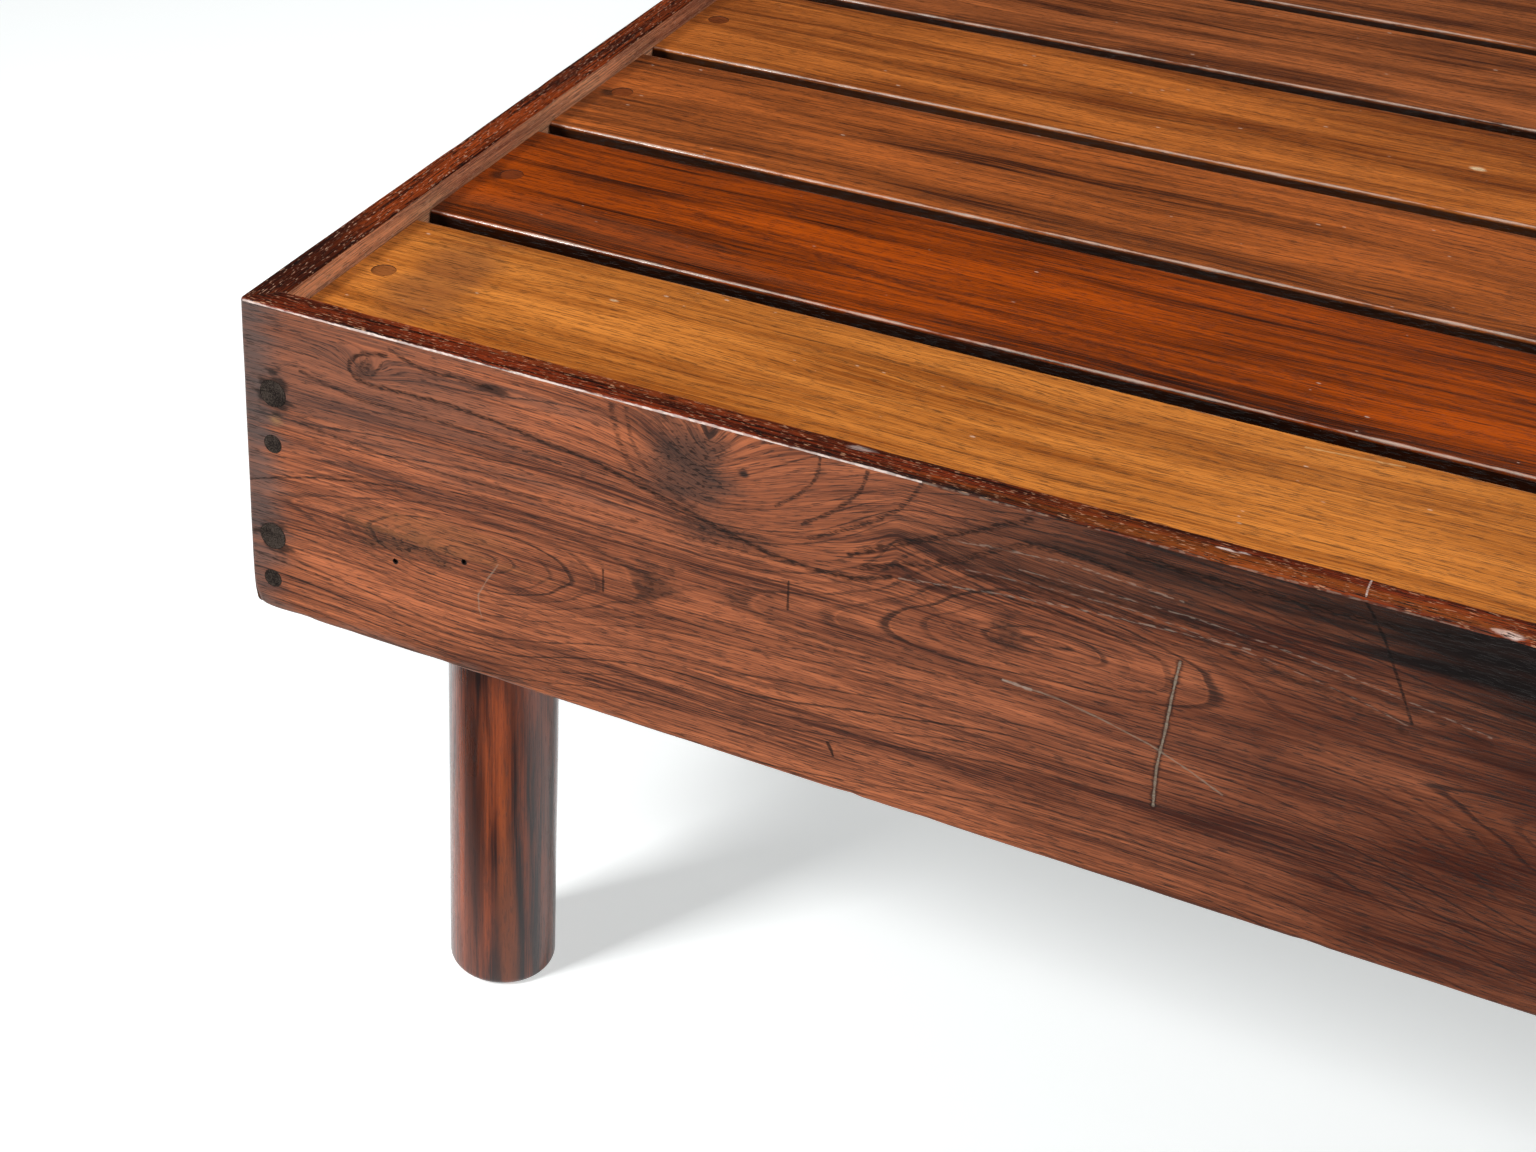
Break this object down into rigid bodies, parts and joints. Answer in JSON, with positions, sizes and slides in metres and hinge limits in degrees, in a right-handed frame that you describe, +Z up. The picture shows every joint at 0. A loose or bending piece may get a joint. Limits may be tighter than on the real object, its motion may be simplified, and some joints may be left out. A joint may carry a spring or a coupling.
{
  "type": "slatted bed frame",
  "caption": "Low platform bed frame: mitred rails with a raised lip, flush cross slats let in below the rail tops, and round wooden legs at the corners.",
  "frame": {"origin": "on the floor, under the middle of the frame", "axes": "+X across the bed towards its right side, +Y along the bed from the foot rail to the head rail, +Z up"},
  "size_m": [0.94, 2.04, 0.392],
  "materials": {
    "end_rail_wood": "satin",
    "side_rail_wood": "satin",
    "slat_wood": "satin",
    "leg_wood": "gloss",
    "block_wood": "matte",
    "dark_plug": "satin",
    "slat_plug": "satin",
    "steel": "satin",
    "brass": "satin"
  },
  "bodies": {
    "root": {"foot_rail": "end_rail_wood", "head_rail": "end_rail_wood", "side_rail_left": "side_rail_wood", "side_rail_right": "side_rail_wood", "slat_01": "slat_wood", "slat_02": "slat_wood", "slat_03": "slat_wood", "slat_04": "slat_wood", "slat_05": "slat_wood", "slat_06": "slat_wood", "slat_07": "slat_wood", "slat_08": "slat_wood", "slat_09": "slat_wood", "slat_10": "slat_wood", "slat_11": "slat_wood", "slat_12": "slat_wood", "slat_13": "slat_wood", "slat_14": "slat_wood", "slat_15": "slat_wood", "slat_16": "slat_wood", "leg_foot_left": "leg_wood", "leg_foot_right": "leg_wood", "leg_head_left": "leg_wood", "leg_head_right": "leg_wood", "block_foot_left": "block_wood", "block_foot_right": "block_wood", "block_head_left": "block_wood", "block_head_right": "block_wood", "corner_screws": "steel", "slat_screws_left": "steel", "slat_screws_right": "steel", "leg_bolts": "steel", "block_screws": "steel", "block_pins": "steel", "corner_plugs": "dark_plug", "corner_dowels": "dark_plug", "slat_plugs_left": "slat_plug", "slat_plugs_right": "slat_plug", "leg_inserts": "brass"}
  },
  "joints": []
}
